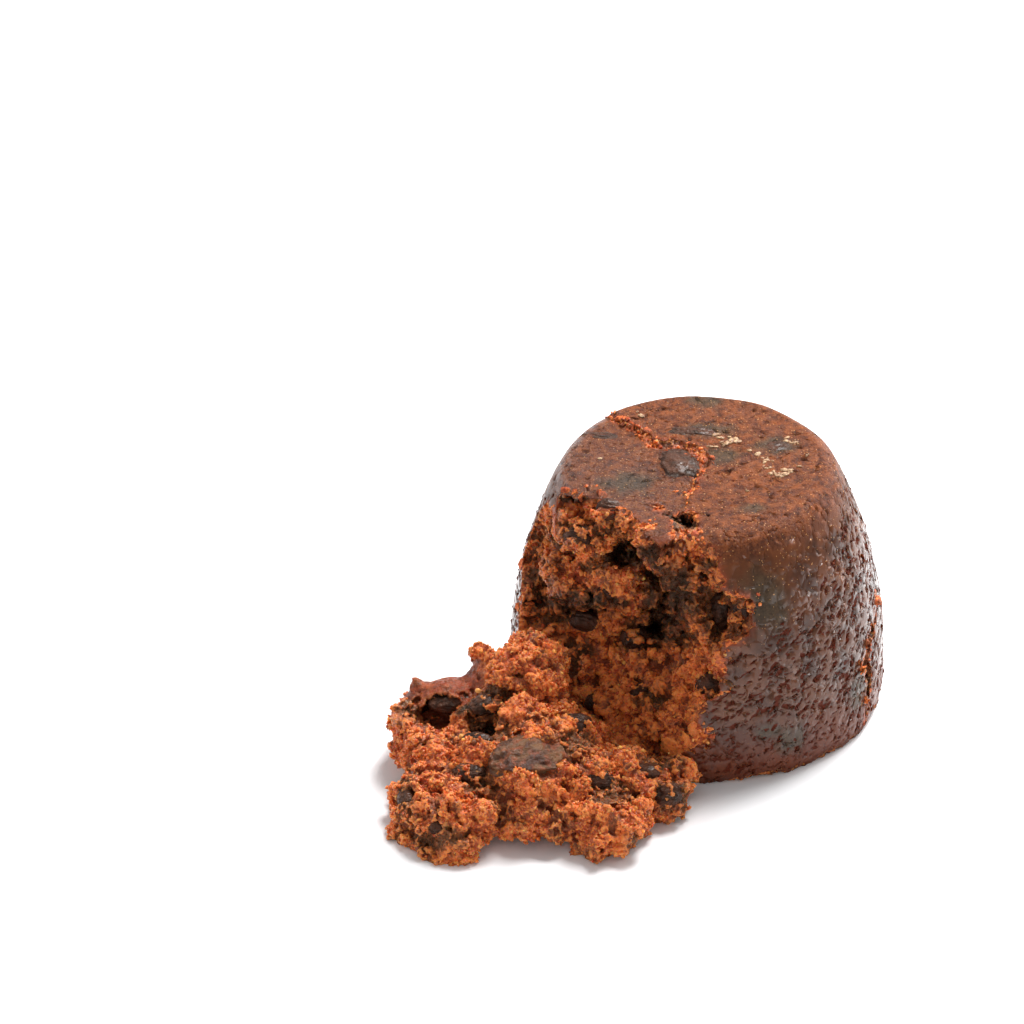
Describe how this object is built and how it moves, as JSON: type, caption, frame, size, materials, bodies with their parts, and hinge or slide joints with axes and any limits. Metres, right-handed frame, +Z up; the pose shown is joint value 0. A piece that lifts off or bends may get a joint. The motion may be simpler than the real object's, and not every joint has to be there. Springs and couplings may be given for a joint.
{
  "type": "christmas pudding",
  "caption": "Small round steamed Christmas pudding, torn open at the front, with the broken-off chunk leaning on it.",
  "frame": {"origin": "middle of the pudding's round flat base, on the table", "axes": "+Z up; -Y towards the torn side and the viewer; +X to that viewer's right"},
  "size_m": [0.0809, 0.0851, 0.0431],
  "materials": {
    "pudding_crust": "dark brown steamed crust, moist and glossy on the pitted side, satin on the flat top",
    "pudding_crumb": "moist clumped orange-brown crumb with dried fruit, matte with small wet glints"
  },
  "bodies": {
    "root": {"pudding": "pudding_crust", "broken_piece": "pudding_crumb"}
  },
  "joints": []
}
